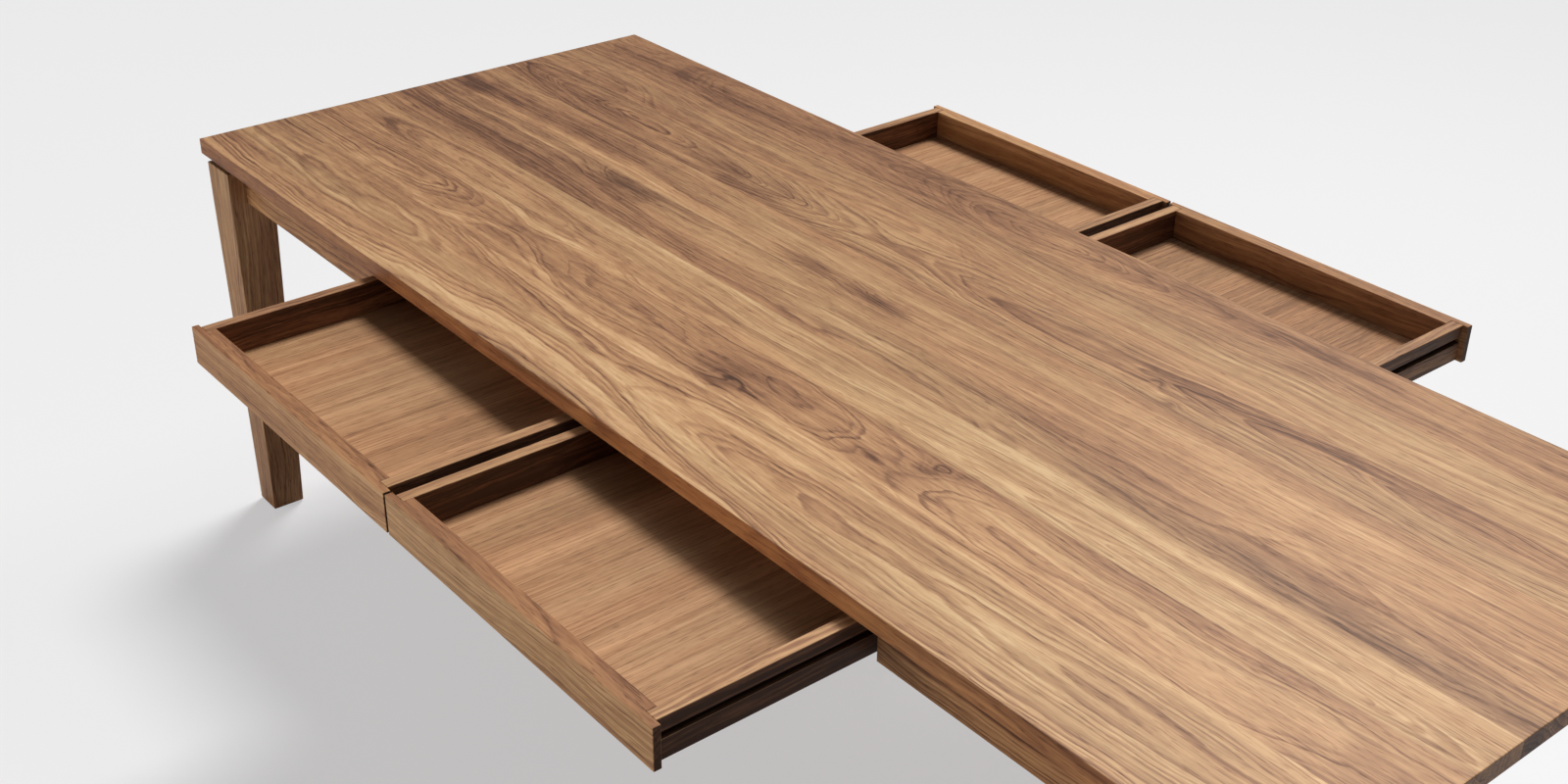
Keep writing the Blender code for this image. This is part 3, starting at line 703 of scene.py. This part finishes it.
def top_material():
    """Eight staves glued edge to edge, each with its own pith, with the knots that bend their rings."""
    material, w, shader = new_material("walnut_top")
    low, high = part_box("tabletop")
    width = high.y - low.y
    object_place = w.add("ShaderNodeTexCoord").outputs["Object"]
    place = w.split(object_place)
    share = w.spread(place[1], high.y, low.y, 0.0, 1.0)

    edges = (0.0, *STAVE_JOINT_SHARES, 1.0)
    middles = [(start, grey((first + last) / 2)) for start, first, last in zip(edges, edges, edges[1:])]
    middle = w.ramp(share, middles, "CONSTANT")
    across = w.math("MULTIPLY", w.math("SUBTRACT", middle, share), width)
    seeds = [(start, grey(STAVE_SEED_START + STAVE_SEED_STEP * index))
             for index, start in enumerate(edges[:-1])]
    seed = w.math("MULTIPLY", w.ramp(share, seeds, "CONSTANT"), STAVE_SEED_RANGE)
    bulge, shade = top_marks(w, object_place, place, share, edges, high.y, width)
    grain = use_grain(
        w, Place=w.join(place[0], across, w.math("SUBTRACT", place[2], high.z)),
        Pith_Y=stave_values(w, share, "pith_beside"),
        Pith_Z=w.math("MULTIPLY", stave_values(w, share, "pith_below"), -1.0),
        Rise=stave_values(w, share, "rise"), Spacing=stave_values(w, share, "spacing"), Seed=seed,
        Tone=stave_values(w, share, "tone"),
        Contrast=calmed(w, stave_values(w, share, "contrast"), "y"),
        Wander=stave_values(w, share, "wander"), Bulge=bulge)

    half_seam = SEAM_HALF_WIDTH / width
    stops = [(0.0, grey(0.0))]
    for joint in STAVE_JOINT_SHARES:
        stops += [(joint - half_seam, grey(0.0)), (joint, grey(1.0)), (joint + half_seam, grey(0.0))]
    seam = w.ramp(share, stops)
    value = w.math("SUBTRACT", grain["Value"], shade)
    value = w.lowered(value, seam, SEAM_SHADE)
    value = w.lowered(value, faces_along(w, "x"), END_SHADE)
    # Painted shade on the top's long edges
    value = w.lowered(value, faces_along(w, "y"), TOP_EDGE_PAINTED_SHADE)
    casts = ((faces_along(w, "y"), WARM_CAST),)
    finish_wood(w, shader, value, grain, WALNUT_TONES, TOP_ROUGHNESS, casts)
    return material


def plain_material(name, colour, roughness, metallic, fine_scale):
    """Moulded plastic or metal with a faint mottle."""
    material, w, shader = new_material(name)
    object_place = w.add("ShaderNodeTexCoord").outputs["Object"]
    speckle_place = w.vector("MULTIPLY", object_place, (fine_scale,) * 3)
    speckle = w.noise(speckle_place, MOTTLE_DETAIL)[0]
    shades = [tuple(min(1.0, share * part) for part in colour) for share in MOTTLE_SHARES]
    w.feed(shader.inputs["Base Color"], w.ramp(speckle, tuple(zip(MOTTLE_RANGE, shades))))
    mottled = w.math("ADD", roughness, w.centred(speckle, MOTTLE_ROUGHNESS), clamp=True)
    w.feed(shader.inputs["Roughness"], mottled)
    shader.inputs["Metallic"].default_value = metallic
    return material


def wood_of(node, index):
    """The material of one wooden board, by the kind of board that its name says."""
    if node == "tabletop":
        return top_material()
    seed = SEED_START + SEED_STEP * index
    aside = PITH_NEAREST + PITH_SPREAD * ((index * GOLDEN_SHARE) % 1.0)
    wood = f"{node}_wood"
    long_pith = (LONG_BOARD_PITH_BESIDE, -aside)
    if node.startswith("leg"):
        return board_material(wood, node, "z", seed, (aside, LEG_PITH_ABOVE), **LEG_WOOD)
    if node.startswith("runner"):
        return board_material(wood, node, "y", seed, (aside, RUNNER_PITH_ABOVE), **RUNNER_WOOD)
    if node.endswith("_floor"):
        # The back right floor is made darker, a painted shade
        tone = PAINTED_SHADE_FLOOR_TONE if "back_right" in node else FLOOR_TONE
        return board_material(f"{node}_veneer", node, "y", seed, VENEER_PITH, tone=tone, **FLOOR_VENEER)
    if node.startswith("drawer") and "side" in node:
        # The front right sides get the most painted shade on their faces square to X
        kind = MORE_SHADED_SIDE_WOOD if "front_right" in node else SIDE_WOOD
        grooved = "low" if ("left" in node) == ("outer" in node) else "high"
        return board_material(wood, node, "y", seed, (CROSS_BOARD_PITH_BESIDE, aside),
                              groove_face=grooved, **kind)
    if node in FRONT_TONES:
        kind = FAR_FRONT_WOOD if "_back_" in node else NEAR_FRONT_WOOD
        return board_material(wood, node, "x", seed, long_pith, tone=FRONT_TONES[node], **FRONT_WOOD,
                              **kind)
    if node.startswith(("end_rail", "end_batten", "bay_bearer", "centre_bearer")):
        return board_material(wood, node, "y", seed, (CROSS_BOARD_PITH_BESIDE, -aside),
                              **CROSS_BOARD_WOOD)
    return board_material(wood, node, "x", seed, long_pith, **LONG_BOARD_WOOD)


def dress_nodes():
    glide = plain_material("glide_nylon", *NYLON)
    screw = plain_material("screw_steel", *STEEL)
    for index, node in enumerate(sorted(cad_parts)):
        if node.startswith("glide"):
            material = glide
        elif node.startswith("top_screw"):
            material = screw
        else:
            material = wood_of(node, index)
        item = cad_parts[node]
        item.data.materials.clear()
        item.data.materials.append(material)


def make_floor():
    """A pale floor that the camera sees lifted a little, as under a studio's bounced light."""
    half = FLOOR_HALF_LENGTH
    mesh = bpy.data.meshes.new("studio_floor")
    corners = [(-half, -half, 0), (half, -half, 0), (half, half, 0), (-half, half, 0)]
    mesh.from_pydata(corners, [], [(0, 1, 2, 3)])
    floor = bpy.data.objects.new("studio_floor", mesh)
    bpy.context.scene.collection.objects.link(floor)
    material, w, shader = new_material("studio_floor")
    seen = w.add("ShaderNodeLightPath").outputs["Is Camera Ray"]
    stops = ((0.0, FLOOR_BOUNCE_COLOUR), (1.0, FLOOR_COLOUR))
    w.feed(shader.inputs["Base Color"], w.ramp(seen, stops))
    shader.inputs["Roughness"].default_value = FLOOR_ROUGHNESS
    shader.inputs["Specular IOR Level"].default_value = FLOOR_SPECULAR
    glow = w.add("ShaderNodeEmission")
    glow.inputs["Color"].default_value = FLOOR_GLOW_COLOUR
    mix = w.add("ShaderNodeMixShader")
    w.feed(mix.inputs[0], w.math("MULTIPLY", seen, FLOOR_GLOW_SHARE))
    w.feed(mix.inputs[1], shader.outputs[0])
    w.feed(mix.inputs[2], glow.outputs[0])
    w.feed(material.node_tree.nodes["Material Output"].inputs["Surface"], mix.outputs[0])
    mesh.materials.append(material)


def add_sun(name, path, angle_deg, strength):
    light = bpy.data.lights.new(name, "SUN")
    light.angle = math.radians(angle_deg)
    light.energy = strength
    item = bpy.data.objects.new(name, light)
    item.rotation_euler = Vector(path).to_track_quat("-Z", "Y").to_euler()
    bpy.context.scene.collection.objects.link(item)


def add_area(name, place, aim, size, power, tint, spread_deg=LAMP_SPREAD_DEG):
    light = bpy.data.lights.new(name, "AREA")
    light.color = tint
    light.shape = "RECTANGLE"
    light.size, light.size_y = size
    light.energy = power
    light.spread = math.radians(spread_deg)
    item = bpy.data.objects.new(name, light)
    item.location = place
    item.rotation_euler = (Vector(aim) - Vector(place)).to_track_quat("-Z", "Y").to_euler()
    bpy.context.scene.collection.objects.link(item)


def make_light():
    world = bpy.context.scene.world or bpy.data.worlds.new("studio")
    bpy.context.scene.world = world
    world.use_nodes = True
    w = Wires(world.node_tree)
    background = world.node_tree.nodes["Background"]
    path = w.add("ShaderNodeLightPath").outputs
    seen = w.raised(path["Is Camera Ray"], path["Is Glossy Ray"], GLOSSY_SHARE)
    seen = w.math("ADD", seen, path["Is Transmission Ray"], clamp=True)
    w.feed(background.inputs["Color"], w.ramp(seen, ((0.0, SKY_COLOUR), (1.0, BACKDROP_COLOUR))))
    background.inputs["Strength"].default_value = 1.0
    add_sun("key", KEY_PATH, KEY_ANGLE_DEG, KEY_STRENGTH)
    add_area("sheen", SHEEN_PLACE, SHEEN_AIM, SHEEN_SIZE, SHEEN_POWER, SHEEN_TINT)
    add_area("end_lamp", END_LAMP_PLACE, END_LAMP_AIM, END_LAMP_SIZE, END_LAMP_POWER, END_LAMP_TINT,
             END_LAMP_SPREAD_DEG)
    add_area("front_fill", FILL_PLACE, FILL_AIM, FILL_SIZE, FILL_POWER, FILL_TINT)


def make_camera():
    data = bpy.data.cameras.new("camera")
    data.sensor_fit = "HORIZONTAL"
    data.sensor_width = SENSOR_WIDTH_MM
    data.lens = FOCAL_PX / PHOTO_WIDTH_PX * SENSOR_WIDTH_MM
    data.clip_end = CAMERA_SEES_TO
    camera = bpy.data.objects.new("camera", data)
    camera.location = CAMERA_PLACE
    camera.rotation_euler = [math.radians(angle) for angle in CAMERA_TURN_DEG]
    bpy.context.scene.collection.objects.link(camera)
    bpy.context.scene.camera = camera


make_camera()
make_light()
make_floor()
dress_nodes()
bpy.context.scene.view_settings.view_transform = "Standard"
